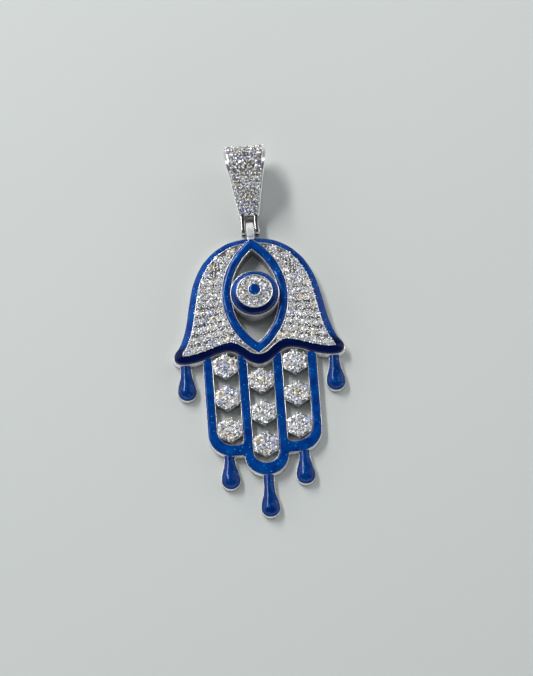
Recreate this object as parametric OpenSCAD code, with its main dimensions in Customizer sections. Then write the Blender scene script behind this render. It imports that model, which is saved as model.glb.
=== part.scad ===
// Hamsa pendant: a cast hand with an eye, blue enamel, set stones and a hinged bail.
// Lengths are in millimetres. The pendant lies on its back on the plane z = 0, face up,
// with the bail towards +Y. The design is drawn from the centre of the eye and then
// moved along Y, so that the origin is under the middle of the whole length.

/* [Palm] */
// Width of the palm over its two corners
palm_w = 27.1; // [25:0.1:30]
// Height of the palm from its top to its lowest lip
palm_h = 22; // [21:0.1:24]
// Width of the step between the outer edge and the stone field
palm_band = 1.25; // [1.1:0.05:1.4]
// Height of the channel floor that carries the palm enamel
palm_floor_z = 1; // [0.8:0.05:1.2]
// Height of the outer lip
palm_lip_z = 1.6; // [1.5:0.05:1.8]
// Height of the stone field
palm_top_z = 2.4; // [2.2:0.05:2.6]

/* [Eye frame] */
// Width of the almond, between the middles of its two sides
almond_w = 9; // [8.8:0.05:9.2]
// Height of the almond, as a share of the palm's height
almond_share = 0.825; // [0.81:0.005:0.84]
// Width of the almond's sides, with both lips
almond_band = 1.5; // [1.4:0.05:1.6]
// Height of the almond's lips
almond_z = 2.6; // [2.5:0.05:2.8]

/* [Eye] */
// Diameter of the eye drum at its lip
drum_d = 7.8; // [7.7:0.02:7.86]
// Height of the underside of the drum
drum_under_z = 1.3; // [1:0.05:1.6]
// Height of the drum's lip
drum_lip_z = 3.6; // [3.4:0.05:3.8]
// Diameter of the stone disc on the drum
iris_d = 5.7; // [5.5:0.05:5.9]
// Height of the stone disc
iris_z = 4.45; // [4.3:0.05:4.7]
// Diameter of the pupil post
pupil_d = 2.1; // [1.9:0.05:2.3]
// Height of the pupil post
pupil_z = 5.1; // [5:0.05:5.4]
// Number of stones round the pupil
eye_stone_count = 9; // [6:1:9]

/* [Fingers] */
// Distance between the middles of two fingers
finger_pitch = 5.5; // [5.4:0.02:5.6]
// Width of a finger's rail, with both lips
finger_band = 1.5; // [1.4:0.05:1.6]
// Height of the rails
finger_z = 1.4; // [1.3:0.05:1.6]
// Length of the outer fingers, from where they leave the palm
finger_length = 16.55; // [16:0.05:17.2]
// How much further down the middle finger's tip is
middle_reach = 3.6; // [3.4:0.1:4.2]
// Corner radius of the outer fingers
finger_corner_r = 3.9; // [3.5:0.1:4.2]

/* [Clusters] */
// Width of a cluster cup over its flats
cluster_w = 4.2; // [4.15:0.05:4.3]
// Height of a cluster cup
cluster_z = 1.75; // [1.6:0.05:1.9]
// Height of the underside of a cluster cup
cluster_under_z = 0.3; // [0:0.05:0.4]

/* [Drops] */
// Diameter of a drop's bulb, with its lips
drop_d = 3.05; // [2.8:0.05:3.3]
// Height of a drop's cup
drop_cup_z = 0.95; // [0.85:0.05:1.1]
// Distance of the corner drops from the middle line
corner_drop_x = 11.75; // [11.5:0.05:12]
// Length of the corner drops
corner_drop_length = 5.9; // [5.4:0.1:7]
// Distance of the outer fingers' drops from the middle line
outer_drop_x = 5.9; // [5.2:0.1:6]
// Length of the outer fingers' drops
outer_drop_length = 5.45; // [5:0.05:6.5]
// Length of the middle drop
middle_drop_length = 7.05; // [6.5:0.05:8]

/* [Stones] */
// Diameter of the stones on the palm and the bail
pave_d = 1.08; // [1:0.01:1.1]
// Distance between the rows of those stones
pave_step = 1.25; // [1.23:0.01:1.4]
// Diameter of the stones in the clusters
cluster_stone_d = 1.26; // [1.15:0.01:1.28]
// Diameter of the stones round the pupil
eye_stone_d = 1.22; // [1.1:0.01:1.22]
// Least gap between two stones of a row
stone_gap = 0.11; // [0.1:0.01:0.14]
// How far a stone's girdle lies under the metal beside it
girdle_depth = 0.04; // [0.02:0.01:0.06]

/* [Bail] */
// Width of the bail at its top
bail_top_w = 6.6; // [6:0.1:7.2]
// Width of the bail at its lower end
bail_low_w = 2.8; // [2.7:0.05:3]
// Outer radius of the bail's top bend
bail_r = 3.55; // [3.5:0.05:3.8]
// Outer radius of the bail's lower end
bail_nose_r = 1.2; // [1.15:0.01:1.25]
// Wall of the bail
bail_wall = 0.65; // [0.6:0.01:0.65]
// Distance between the middles of the bail's two bends
bail_length = 6.8; // [6.5:0.1:7.5]

/* [Hinge] */
// Diameter of the hinge pin
pin_d = 1; // [0.9:0.05:1.1]
// Height of the pin's axis
pin_z = 1.4; // [1.38:0.01:1.45]
// Outer diameter of the ring on the pendant
ring_d = 2.7; // [2.5:0.05:2.75]
// Width of that ring
ring_w = 1.2; // [1.05:0.05:1.25]
// Radius of the fork's rounded ends
fork_r = 1; // [0.95:0.01:1.05]
// Distance from the pin to the bottom of the fork's slot
fork_slot = 2.15; // [2.1:0.05:2.25]
// Distance from the pin to the middle of the bail's lower bend
fork_length = 3.25; // [3.2:0.05:3.4]

/* [Walls and clearances] */
// Width of the thin metal lips beside the enamel
lip_w = 0.14; // [0.12:0.01:0.18]
// Depth of the channels that hold the raised enamel
channel_depth = 0.4; // [0.3:0.05:0.5]
// Gap round each piece of enamel
enamel_gap = 0.03; // [0.02:0.01:0.04]
// Gap round each stone in its seat
seat_gap = 0.03; // [0.02:0.01:0.04]
// Metal left between a stone's seat and the edge beside it
seat_margin = 0.08; // [0.06:0.01:0.12]
// Running gap of the pin in the ring, on the radius
pin_gap = 0.05; // [0.03:0.01:0.08]
// Gap of the fixed pin in the fork, on the radius
fixed_gap = 0.02; // [0.01:0.01:0.03]
// Gap between the ring and each arm of the fork
side_gap = 0.12; // [0.1:0.01:0.15]

/* [Hidden] */

METAL = "silver";
ENAMEL = [0.02, 0.30, 0.70];
STONE = [0.93, 0.94, 0.97];

// How far a cut runs past the metal that it clears
over = 1;
// Steps of a smooth curve between two rows of its table
curve_steps = 3;
// Steps of a quarter turn in an outline
quarter_steps = 8;

// Half of the palm's outline, from its top down the right side to its lowest point.
// Columns: x of the edge in half widths, y of the edge in heights above the eye, and the
// step from there to the edge of the stone field, in x and in y, in band widths.
PALM_ROWS = [
    [0.000,  0.474,  0.00, -0.86],
    [0.148,  0.467, -0.16, -0.84],
    [0.288,  0.445, -0.32, -0.82],
    [0.421,  0.398, -0.48, -0.73],
    [0.517,  0.346, -0.60, -0.63],
    [0.620,  0.265, -0.76, -0.50],
    [0.720,  0.128, -0.84, -0.25],
    [0.786, -0.048, -0.88, -0.19],
    [0.823, -0.168, -0.88, -0.20],
    [0.871, -0.271, -0.92, -0.27],
    [0.923, -0.345, -0.92, -0.30],
    [0.978, -0.392, -1.04, -0.34],
    [1.000, -0.442, -1.14,  0.32],
    [0.963, -0.475, -0.78,  0.81],
    [0.900, -0.487, -0.24,  1.00],
    [0.819, -0.487, -0.08,  1.03],
    [0.708, -0.475,  0.12,  1.03],
    [0.605, -0.456,  0.24,  0.98],
    [0.502, -0.428,  0.20,  0.90],
    [0.391, -0.411,  0.08,  0.99],
    [0.299, -0.418, -0.10,  1.18],
    [0.214, -0.456, -0.36,  1.10],
    [0.111, -0.504, -0.20,  1.14],
    [0.000, -0.525,  0.00,  1.22]
];
// Row of the table above at the palm's corner
CORNER_ROW = 12;

// Outline of a drop. Columns: distance above the bulb's middle and half width, both in
// bulb radii. The last row is the neck, which runs on straight.
DROP_ROWS = [
    [0.00, 1.00],
    [0.35, 0.98],
    [0.70, 0.92],
    [1.05, 0.82],
    [1.40, 0.71],
    [1.75, 0.63],
    [2.30, 0.57]
];

// Cut of a round stone, in stone diameters
stone_table = 0.58;
stone_crown = 0.15;
stone_pavilion = 0.32;
stone_sides = 8;

// Levels of the fingers' domed enamel. Columns: height over the lips and inset from them,
// both in rail widths
DOME_LEVELS = [[0.00, 0.00], [0.06, 0.08], [0.11, 0.20]];

// Splines, loops and small tools

function spline(a, b, c, d, t) =
    0.5 * (2 * b + (c - a) * t + (2 * a - 5 * b + 4 * c - d) * t * t
           + (3 * b - a - 3 * c + d) * t * t * t);

function smooth_loop(k) =
    let (n = len(k))
    [for (i = [0 : n - 1]) for (j = [0 : curve_steps - 1])
        spline(k[(i + n - 1) % n], k[i], k[(i + 1) % n], k[(i + 2) % n], j / curve_steps)];

function arc(centre, r, from, to) =
    let (n = max(2, round(quarter_steps * abs(to - from) / 90)))
    [for (i = [0 : n]) let (a = from + (to - from) * i / n) centre + r * [cos(a), sin(a)]];

function mirrored(points) = [for (p = points) [-p[0], p[1]]];

// Palm outlines

palm_half = palm_w / 2;
half_edge = [for (r = PALM_ROWS) [r[0] * palm_half, r[1] * palm_h]];
half_field = [for (i = [0 : len(PALM_ROWS) - 1])
    half_edge[i] + palm_band * [PALM_ROWS[i][2], PALM_ROWS[i][3]]];

function both_halves(half) =
    concat(half, [for (i = [len(half) - 2 : -1 : 1]) [-half[i][0], half[i][1]]]);

edge_loop = smooth_loop(both_halves(half_edge));
field_loop = smooth_loop(both_halves(half_field));

// The palm's outline, s inside its edge, on the lines that lead to the stone field
function palm_inside(s) =
    [for (i = [0 : len(edge_loop) - 1])
        let (step = field_loop[i] - edge_loop[i]) edge_loop[i] + step * s / norm(step)];

// The outline of the stone field, s outside its edge
function field_outside(s) =
    [for (i = [0 : len(edge_loop) - 1])
        let (step = edge_loop[i] - field_loop[i]) field_loop[i] + step * s / norm(step)];

corner_index = CORNER_ROW * curve_steps;
last_index = (len(PALM_ROWS) - 1) * curve_steps;
// The lower edges of the field and of the palm, from the middle out to the corner
field_hem = [for (i = [last_index : -1 : corner_index]) field_loop[i]];
edge_hem = [for (i = [last_index : -1 : corner_index]) edge_loop[i]];
function hem_y(x) = lookup(x, edge_hem);

// Almond

// Radius of the sides, from the width and height between their middles
almond_r = ((palm_h * almond_share / 2) ^ 2 + (almond_w / 2) ^ 2) / almond_w;
almond_centre = almond_r - almond_w / 2;
almond_out = almond_r + almond_band / 2;
almond_in = almond_r - almond_band / 2;
almond_floor_z = almond_z - channel_depth;

// Fingers

rail_in = finger_pitch / 2;
rail_out = 1.5 * finger_pitch;
// Rails at the tips, widest on the middle finger
outer_toe = 1.26 * finger_band;
middle_toe = 1.42 * finger_band;
// The fingers start under the palm and leave it at its lower edge
finger_top = -palm_h * 0.37;
finger_root = palm_h * 0.47;
outer_tip = finger_root + finger_length;
middle_tip = outer_tip + middle_reach;
// Clusters along a finger, the middle one's half a step lower
cluster_step = finger_length * 0.333;
outer_cluster_y = finger_root + cluster_step * 0.19;
middle_cluster_y = outer_cluster_y + cluster_step * 0.52;

// Outline open at the top and rounded at the bottom
function tongue(x0, x1, bottom, r0, r1) =
    concat([[x0, finger_top]], arc([x0 + r0, bottom + r0], r0, 180, 270),
           arc([x1 - r1, bottom + r1], r1, 270, 360), [[x1, finger_top]]);

// Drops

drop_r = drop_d / 2;
corner_drop_top = hem_y(corner_drop_x);
middle_drop_tip = middle_tip + middle_drop_length;
// Columns: x of the drop, y of its tip and y of the edge that it hangs from
DROP_PLACES = [
    [-corner_drop_x, corner_drop_top - corner_drop_length, corner_drop_top],
    [corner_drop_x, corner_drop_top - corner_drop_length, corner_drop_top],
    [-outer_drop_x, -outer_tip - outer_drop_length, -outer_tip],
    [outer_drop_x, -outer_tip - outer_drop_length, -outer_tip],
    [0, -middle_drop_tip, -middle_tip]
];
// How far a drop's cup runs into the body above it
drop_root = drop_r / 3;
drop_floor_z = drop_cup_z - 0.75 * channel_depth;
// Height of the axis that the drops' enamel is turned about
drop_axis_z = drop_cup_z - 0.4 * channel_depth;

// Half of a drop's outline, right of its axis, with the bulb's middle at zero
function drop_half(inset, top) =
    let (r = drop_r - inset)
    concat(arc([0, 0], r, -90, 0),
           [for (i = [1 : len(DROP_ROWS) - 1])
               [DROP_ROWS[i][1] * drop_r - inset, DROP_ROWS[i][0] * drop_r]],
           [[DROP_ROWS[len(DROP_ROWS) - 1][1] * drop_r - inset, top]]);

// Stones: a round cut stone is a table, a crown, a girdle and a pavilion

stone_points_each = 2 * stone_sides + 1;

function stone_points(centre, u, v, n, d) =
    concat(
        [for (i = [0 : stone_sides - 1]) let (a = 360 * (i + 0.5) / stone_sides)
            centre + (u * cos(a) + v * sin(a)) * stone_table * d / 2 + n * stone_crown * d],
        [for (i = [0 : stone_sides - 1]) let (a = 360 * (i + 0.5) / stone_sides)
            centre + (u * cos(a) + v * sin(a)) * d / 2],
        [centre - n * stone_pavilion * d]);

function stone_faces(k) =
    let (t = k * stone_points_each, g = t + stone_sides, culet = g + stone_sides)
    concat(
        [[for (i = [stone_sides - 1 : -1 : 0]) t + i]],
        [for (i = [0 : stone_sides - 1]) let (j = (i + 1) % stone_sides) [t + i, t + j, g + j, g + i]],
        [for (i = [0 : stone_sides - 1]) let (j = (i + 1) % stone_sides) [g + i, g + j, culet]]);

// Each place is [middle of the girdle, direction along the row, direction up the face]
module stones(places, d) {
    points = [for (p = places) each stone_points(p[0], p[1], cross(p[2], p[1]), p[2], d)];
    faces = [for (k = [0 : len(places) - 1]) each stone_faces(k)];
    color(STONE) polyhedron(points, faces);
}

// Blind seats for the same places, cut down from the metal's surface
module seats(places, d) {
    depth = stone_pavilion * d + girdle_depth + 0.1;
    for (p = places) {
        tilt = atan2(p[2][1], p[2][2]);
        translate(p[0] + p[2] * girdle_depth) rotate([-tilt, 0, 0])
            translate([0, 0, -depth]) cylinder(h = depth + over, r = d / 2 + seat_gap, $fn = 24);
    }
}

function flat_places(points, z) =
    [for (p = points) [[p[0], p[1], z - girdle_depth], [1, 0, 0], [0, 0, 1]]];

// Stones on the palm, in rows that follow its lower edge and straighten out upwards,
// each spread between the almond and the edge of the field
pave_r = pave_d / 2 + seat_gap;
pave_edge = pave_r + seat_margin;
bent_rows = 5;
hem_crest = max([for (p = field_hem) p[1]]) + pave_edge;
// Middles of the outermost stones, as [y, x]
outer_stones = [for (i = [corner_index : -1 : 0])
    let (step = field_loop[i] - edge_loop[i], p = field_loop[i] + step / norm(step) * pave_edge)
    [p[1], p[0]]];
palm_rows = floor((outer_stones[corner_index][0] - hem_crest) / pave_step);

function row_y(k, x) =
    hem_crest + k * pave_step
    + (lookup(x, field_hem) + pave_edge - hem_crest) * max(0, 1 - k / bent_rows);

function first_x(y) = sqrt((almond_out + pave_edge) ^ 2 - y * y) - almond_centre;
function last_x(y) = lookup(y, outer_stones);

function palm_row(k) =
    let (y = row_y(k, palm_half / 2),
         x0 = max(pave_step / 2, first_x(row_y(k, first_x(y)))),
         x1 = last_x(row_y(k, last_x(y))),
         n = 1 + floor((x1 - x0) / (pave_d + stone_gap)))
    [for (j = [0 : n - 1])
        let (x = n == 1 ? (x0 + x1) / 2 : x0 + (x1 - x0) * j / (n - 1)) [x, row_y(k, x)]];

palm_places = [for (k = [0 : palm_rows]) each palm_row(k)];

// Stones round the pupil
eye_ring_r = (iris_d + pupil_d) / 4;
eye_places = [for (i = [0 : eye_stone_count - 1])
    let (a = 360 * i / eye_stone_count + 90) eye_ring_r * [cos(a), sin(a)]];

// Stones of a cluster, a middle one and six round it
cluster_ring_r = cluster_stone_d + 0.12;
cluster_pattern = concat([[0, 0]], [for (i = [0 : 5]) cluster_ring_r * [cos(60 * i + 30), sin(60 * i + 30)]]);
function cluster_middle(i) =
    let (column = floor(i / 3) - 1, row = i % 3)
    [column * finger_pitch,
     -(column == 0 ? middle_cluster_y : outer_cluster_y) - row * cluster_step];

// Bail: its side view is two round bends joined by two straight walls, the back one
// flat on z = 0, and its width tapers

pin_y = palm_h * PALM_ROWS[0][1] + 0.52 * ring_d;
nose_y = pin_y + fork_length;
bend_y = nose_y + bail_length;
bail_top = bend_y + bail_r;
bail_slope = 2 * atan((bail_r - bail_nose_r) / bail_length);
low_y = pin_y + fork_slot;
function bail_half_w(y) =
    bail_low_w / 2 + (bail_top_w - bail_low_w) / 2 * (y - low_y) / (bail_top - low_y);

// Side view in [y, z], g inside the outer face
function bail_side(g) =
    concat(arc([nose_y, bail_nose_r], bail_nose_r - g, 270, 90 + bail_slope),
           arc([bend_y, bail_r], bail_r - g, 90 + bail_slope, -90));

// A place on the bail's outer face, s along it from the lower end of the front wall
front_length = bail_length;
front_start = [nose_y, bail_nose_r] + bail_nose_r * [-sin(bail_slope), cos(bail_slope)];
function bail_place(s) =
    s < front_length
    ? [front_start + s * [cos(bail_slope), sin(bail_slope)], -bail_slope]
    : let (a = -bail_slope + (s - front_length) / bail_r * 180 / PI)
      [[bend_y, bail_r] + bail_r * [sin(a), cos(a)], a];

bail_first = 1.15 * pave_edge;
bail_last = front_length + bail_r * (bail_slope + 75) * PI / 180;
bail_rows = floor((bail_last - bail_first) / pave_step);
bail_places = [for (i = [0 : bail_rows])
    let (place = bail_place(bail_first + i * pave_step), a = place[1],
         normal = [0, sin(a), cos(a)],
         side = [0, place[0][0], place[0][1]] - normal * girdle_depth,
         room = 2 * (bail_half_w(place[0][0]) - pave_edge),
         n = 1 + floor(room / (pave_d + stone_gap)))
    for (j = [0 : n - 1])
        [side + [n == 1 ? 0 : (j / (n - 1) - 0.5) * room, 0, 0], [1, 0, 0], normal]];

// The middle of the whole length lies over the origin
y_mid = (bail_top - middle_drop_tip) / 2;
module placed() { translate([0, -y_mid, 0]) children(); }

// A block along X from its side view in [y, z]
module side_block(points, x0, x1) {
    translate([x0, 0, 0]) rotate([90, 0, 90]) linear_extrude(height = x1 - x0) polygon(points);
}

module x_cylinder(r, length) {
    rotate([0, 90, 0]) cylinder(h = length, r = r, center = true, $fn = 48);
}

module almond_prism(r, z0, z1) {
    intersection_for (side = [-1, 1])
        translate([side * almond_centre, 0, z0]) cylinder(h = z1 - z0, r = r, $fn = 96);
}

// Casting

module palm_plate() {
    difference() {
        linear_extrude(height = palm_top_z) polygon(palm_inside(0));
        translate([0, 0, palm_floor_z]) linear_extrude(height = palm_top_z) difference() {
            polygon(palm_inside(lip_w));
            polygon(field_loop);
        }
        translate([0, 0, palm_lip_z]) linear_extrude(height = palm_top_z) difference() {
            square([palm_w + 2 * over, 2 * palm_h], center = true);
            polygon(palm_inside(2 * lip_w));
        }
        seats(flat_places(palm_places, palm_top_z), pave_d);
        seats(flat_places(mirrored(palm_places), palm_top_z), pave_d);
    }
}

module almond_frame() {
    intersection() {
        almond_prism(almond_out, 0, almond_z);
        linear_extrude(height = almond_z + over) polygon(field_outside(-enamel_gap));
    }
}

module almond_cuts() {
    almond_prism(almond_in, -over, almond_z + over);
    difference() {
        almond_prism(almond_out - lip_w, almond_floor_z, almond_z + over);
        almond_prism(almond_in + lip_w, almond_floor_z - over, almond_z + 2 * over);
    }
}

module eye_drum() {
    r = drum_d / 2;
    post_r = pupil_d / 2;
    difference() {
        rotate_extrude($fn = 96) polygon([
            [0, drum_under_z], [r, drum_under_z], [r, drum_lip_z], [r - lip_w, drum_lip_z],
            [r - lip_w, drum_lip_z - channel_depth], [iris_d / 2, drum_lip_z - channel_depth],
            [iris_d / 2, iris_z], [post_r, iris_z], [post_r, pupil_z], [post_r - lip_w, pupil_z],
            [post_r - lip_w, pupil_z - channel_depth], [0, pupil_z - channel_depth]
        ]);
        seats(flat_places(eye_places, iris_z), eye_stone_d);
    }
}

// The fingers' outer shape and their slots, both moved in from the metal's edge
module finger_shape(inset) {
    b = finger_band / 2 - inset;
    polygon(tongue(rail_in - b, rail_out + b, -outer_tip + inset, finger_band, finger_corner_r - inset));
    polygon(mirrored(tongue(rail_in - b, rail_out + b, -outer_tip + inset,
                            finger_band, finger_corner_r - inset)));
    polygon(tongue(-rail_in - b, rail_in + b, -middle_tip + inset, rail_in + b - 0.01, rail_in + b - 0.01));
}

module slot_shape(inset) {
    b = finger_band / 2 - inset;
    outer = tongue(rail_in + b, rail_out - b, -outer_tip + outer_toe - inset,
                   finger_band / 2 + inset, finger_corner_r * 2 / 3 + inset);
    polygon(outer);
    polygon(mirrored(outer));
    polygon(tongue(-rail_in + b, rail_in - b, -middle_tip + middle_toe - inset,
                   rail_in - b - 0.01, rail_in - b - 0.01));
}

module rail_shape(inset) {
    difference() {
        finger_shape(inset);
        slot_shape(inset);
    }
}

module finger_frame() {
    difference() {
        linear_extrude(height = finger_z) rail_shape(0);
        translate([0, 0, finger_z - channel_depth]) linear_extrude(height = finger_z)
            rail_shape(lip_w);
    }
}

module cluster_cup(i) {
    middle = cluster_middle(i);
    difference() {
        translate([middle[0], middle[1], cluster_under_z]) rotate([0, 0, 30])
            cylinder(h = cluster_z - cluster_under_z, r = cluster_w / 2 / cos(30), $fn = 6);
        seats(cluster_places(i), cluster_stone_d);
    }
}

function cluster_places(i) =
    flat_places([for (p = cluster_pattern) cluster_middle(i) + p], cluster_z);

module drop_shape(place, inset, top) {
    middle = place[1] + drop_r;
    half = drop_half(inset, top - middle);
    translate([place[0], middle]) polygon(concat(half, [for (i = [len(half) - 1 : -1 : 1]) [-half[i][0], half[i][1]]]));
}

module drop_cup(place) {
    difference() {
        linear_extrude(height = drop_cup_z) drop_shape(place, 0, place[2] + drop_root);
        translate([0, 0, drop_floor_z]) linear_extrude(height = drop_cup_z)
            drop_shape(place, lip_w, place[2] + drop_root + over);
    }
}

module hinge_ring() {
    foot = palm_h * PALM_ROWS[1][1] - 0.22 * ring_d;
    difference() {
        union() {
            translate([0, pin_y, pin_z]) x_cylinder(ring_d / 2, ring_w);
            translate([-ring_w / 2, foot, pin_z - 0.41 * ring_d])
                cube([ring_w, pin_y - foot, 0.63 * ring_d]);
        }
        translate([0, pin_y, pin_z]) x_cylinder(pin_d / 2 + pin_gap, ring_w + 2 * over);
    }
}

// The fingers and the ring end at the palm's lip, and only run on below its channel
module under_palm() {
    translate([0, 0, palm_floor_z / 2]) linear_extrude(height = palm_top_z)
        polygon(palm_inside(lip_w / 2));
}

module pendant_casting() {
    color(METAL) placed() {
        difference() {
            union() {
                palm_plate();
                almond_frame();
            }
            almond_cuts();
        }
        eye_drum();
        difference() {
            union() {
                finger_frame();
                for (i = [0 : 8]) cluster_cup(i);
                hinge_ring();
            }
            under_palm();
        }
        for (place = DROP_PLACES) drop_cup(place);
    }
}

// Bail and pin

module bail() {
    slot_half = ring_w / 2 + side_gap;
    color(METAL) placed() difference() {
        union() {
            intersection() {
                difference() {
                    side_block(bail_side(0), -bail_top_w, bail_top_w);
                    side_block(bail_side(bail_wall), -bail_top_w - over, bail_top_w + over);
                }
                translate([0, 0, -over]) linear_extrude(height = 2 * bail_r + 2 * over) polygon([
                    [-bail_half_w(low_y - over), low_y - over], [bail_half_w(low_y - over), low_y - over],
                    [bail_half_w(bail_top + over), bail_top + over],
                    [-bail_half_w(bail_top + over), bail_top + over]
                ]);
            }
            side_block(concat(arc([pin_y, pin_z], fork_r, 90, 270),
                              [[nose_y - bail_nose_r / 2, pin_z - fork_r],
                               [nose_y - bail_nose_r / 2, pin_z + 0.7 * fork_r]]),
                       -bail_low_w / 2, bail_low_w / 2);
        }
        translate([-slot_half, pin_y - fork_r - over, -over])
            cube([2 * slot_half, fork_r + over + fork_slot, 2 * bail_r]);
        translate([0, pin_y, pin_z]) x_cylinder(pin_d / 2 + fixed_gap, bail_top_w);
        seats(bail_places, pave_d);
    }
}

module hinge_pin() {
    color(METAL) placed() translate([0, pin_y, pin_z]) x_cylinder(pin_d / 2, bail_low_w + 0.2 * pin_d);
}

// Enamel

// Section of the palm's enamel. Columns: share of the way from lip to field, height share
// of the way from the lip to the field's top
PALM_SECTION = [[0, 0], [0.3, 0.45], [0.65, 0.75], [1, 0.85]];

module palm_enamel() {
    n = len(edge_loop);
    outer = palm_inside(lip_w + enamel_gap);
    inner = field_outside(enamel_gap);
    rise = palm_top_z - palm_lip_z;
    columns = len(PALM_SECTION);
    section = columns + 2;
    points = [for (i = [0 : n - 1]) each concat(
        [[outer[i][0], outer[i][1], palm_floor_z + enamel_gap]],
        [for (row = PALM_SECTION)
            let (p = outer[i] + row[0] * (inner[i] - outer[i]))
            [p[0], p[1], palm_lip_z - enamel_gap + row[1] * rise]],
        [[inner[i][0], inner[i][1], palm_floor_z + enamel_gap]])];
    faces = [for (i = [0 : n - 1]) for (j = [0 : section - 1])
        let (a = i * section, b = ((i + 1) % n) * section, k = (j + 1) % section)
        [a + j, a + k, b + k, b + j]];
    color(ENAMEL) placed() polyhedron(points, faces);
}

// A turned section on both axes of the almond, and what the two have in common
module almond_turned(section) {
    intersection_for (side = [-1, 1])
        translate([side * almond_centre, 0, 0]) rotate_extrude($fn = 96) polygon(section);
}

module almond_enamel() {
    r0 = almond_in + lip_w + enamel_gap;
    r1 = almond_out - lip_w - enamel_gap;
    bevel = 0.35 * (r1 - r0);
    z0 = almond_floor_z + enamel_gap;
    z1 = almond_z - enamel_gap;
    z2 = almond_z + 0.11 * almond_band;
    color(ENAMEL) placed() difference() {
        intersection() {
            almond_turned([[0, z0], [r1, z0], [r1, z1], [r1 - bevel, z2], [0, z2]]);
            linear_extrude(height = almond_z + over) polygon(field_outside(-2 * enamel_gap));
        }
        almond_turned([[0, z0 - over], [r0, z0 - over], [r0, z1], [r0 + bevel, z2],
                       [r0 + bevel, z2 + over], [0, z2 + over]]);
    }
}

module eye_ring_enamel() {
    r0 = iris_d / 2 + enamel_gap;
    r1 = drum_d / 2 - lip_w - enamel_gap;
    rise = iris_z - drum_lip_z;
    z0 = drum_lip_z - channel_depth + enamel_gap;
    color(ENAMEL) placed() rotate_extrude($fn = 96) polygon([
        [r0, z0], [r1, z0], [r1, drum_lip_z - enamel_gap],
        [r1 - 0.25 * (r1 - r0), drum_lip_z + 0.4 * rise],
        [r0 + 0.35 * (r1 - r0), drum_lip_z + 0.7 * rise], [r0, drum_lip_z + 0.82 * rise]
    ]);
}

module pupil_enamel() {
    r = pupil_d / 2 - lip_w - enamel_gap;
    z0 = pupil_z - channel_depth + enamel_gap;
    color(ENAMEL) placed() rotate_extrude($fn = 48) polygon([
        [0, z0], [r, z0], [r, pupil_z - enamel_gap], [0.75 * r, pupil_z + 0.16 * r],
        [0.4 * r, pupil_z + 0.27 * r], [0, pupil_z + 0.3 * r]
    ]);
}

module finger_enamel() {
    z0 = finger_z - channel_depth + enamel_gap;
    color(ENAMEL) placed() difference() {
        for (level = DOME_LEVELS)
            translate([0, 0, z0])
                linear_extrude(height = finger_z - enamel_gap + level[0] * finger_band - z0)
                    rail_shape(lip_w + enamel_gap + level[1] * finger_band);
        linear_extrude(height = finger_z + over) polygon(palm_inside(-enamel_gap));
        for (i = [0 : 8]) cluster_gap(i);
    }
}

// Room round a cluster cup in the enamel beside it
module cluster_gap(i) {
    middle = cluster_middle(i);
    translate([middle[0], middle[1], 0]) rotate([0, 0, 30])
        cylinder(h = finger_z + over, r = (cluster_w / 2 + enamel_gap) / cos(30), $fn = 6);
}

module drop_enamel(k) {
    place = DROP_PLACES[k];
    middle = place[1] + drop_r;
    top = place[2] - 2 * enamel_gap - middle;
    z0 = drop_floor_z + enamel_gap;
    half = drop_half(lip_w + enamel_gap, top);
    color(ENAMEL) placed() intersection() {
        translate([place[0], middle, drop_axis_z]) rotate([-90, 0, 0])
            rotate_extrude($fn = 48) polygon(concat(half, [[0, top]]));
        translate([place[0] - drop_d, place[1] - over, z0])
            cube([2 * drop_d, place[2] - place[1] + 2 * over, 2 * drop_d]);
    }
}

// Stone fields

module palm_stones(side) {
    points = side > 0 ? palm_places : mirrored(palm_places);
    placed() stones(flat_places(points, palm_top_z), pave_d);
}

module eye_stones() {
    placed() stones(flat_places(eye_places, iris_z), eye_stone_d);
}

module bail_stones() {
    placed() stones(bail_places, pave_d);
}

module cluster_stones(i) {
    placed() stones(cluster_places(i), cluster_stone_d);
}

pendant_casting();
bail();
hinge_pin();
palm_enamel();
almond_enamel();
eye_ring_enamel();
pupil_enamel();
finger_enamel();
palm_stones(-1);  // palm_stones_left
palm_stones(1);  // palm_stones_right
eye_stones();
bail_stones();
for (k = [0 : 4]) drop_enamel(k);
for (i = [0 : 8]) cluster_stones(i);
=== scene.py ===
"""Looks of the hamsa pendant: enamel, cut stones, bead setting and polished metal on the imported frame.

Lengths are in millimetres from the middle of the eye, with z = 0 on the paper, until place() moves
a finished mesh into the row frame, in metres.
"""

import math
import random

import bmesh
import bpy
from mathutils import Matrix, Vector


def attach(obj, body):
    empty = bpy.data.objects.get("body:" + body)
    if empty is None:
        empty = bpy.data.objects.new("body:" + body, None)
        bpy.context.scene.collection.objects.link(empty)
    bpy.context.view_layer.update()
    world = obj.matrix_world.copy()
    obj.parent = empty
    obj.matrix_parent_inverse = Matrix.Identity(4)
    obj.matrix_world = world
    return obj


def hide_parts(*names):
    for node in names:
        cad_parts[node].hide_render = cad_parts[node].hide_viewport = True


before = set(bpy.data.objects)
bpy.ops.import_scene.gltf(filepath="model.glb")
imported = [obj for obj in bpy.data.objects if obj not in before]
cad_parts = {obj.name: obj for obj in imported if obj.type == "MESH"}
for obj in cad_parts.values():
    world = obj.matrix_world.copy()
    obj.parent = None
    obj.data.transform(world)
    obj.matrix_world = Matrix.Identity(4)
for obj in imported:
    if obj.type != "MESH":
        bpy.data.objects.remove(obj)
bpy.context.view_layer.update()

MM = 0.001
# The middle of the eye in the row frame, in millimetres
EYE = Vector((0.0, 6.054, 0.0))
# Edges that turn by more than this are sharp
SHARP = math.radians(38)

# Sizes shared by several pieces. A name that ends in _Z is a height over the paper.

# Metal beside the enamel: a thin lip along the bands, and a wider rim round the stone fields
LIP, RIM = 0.06, 0.13
# Small round-over and steps of the edges' bevels
EDGE_R, EDGE_STEPS = 0.12, 3

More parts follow.
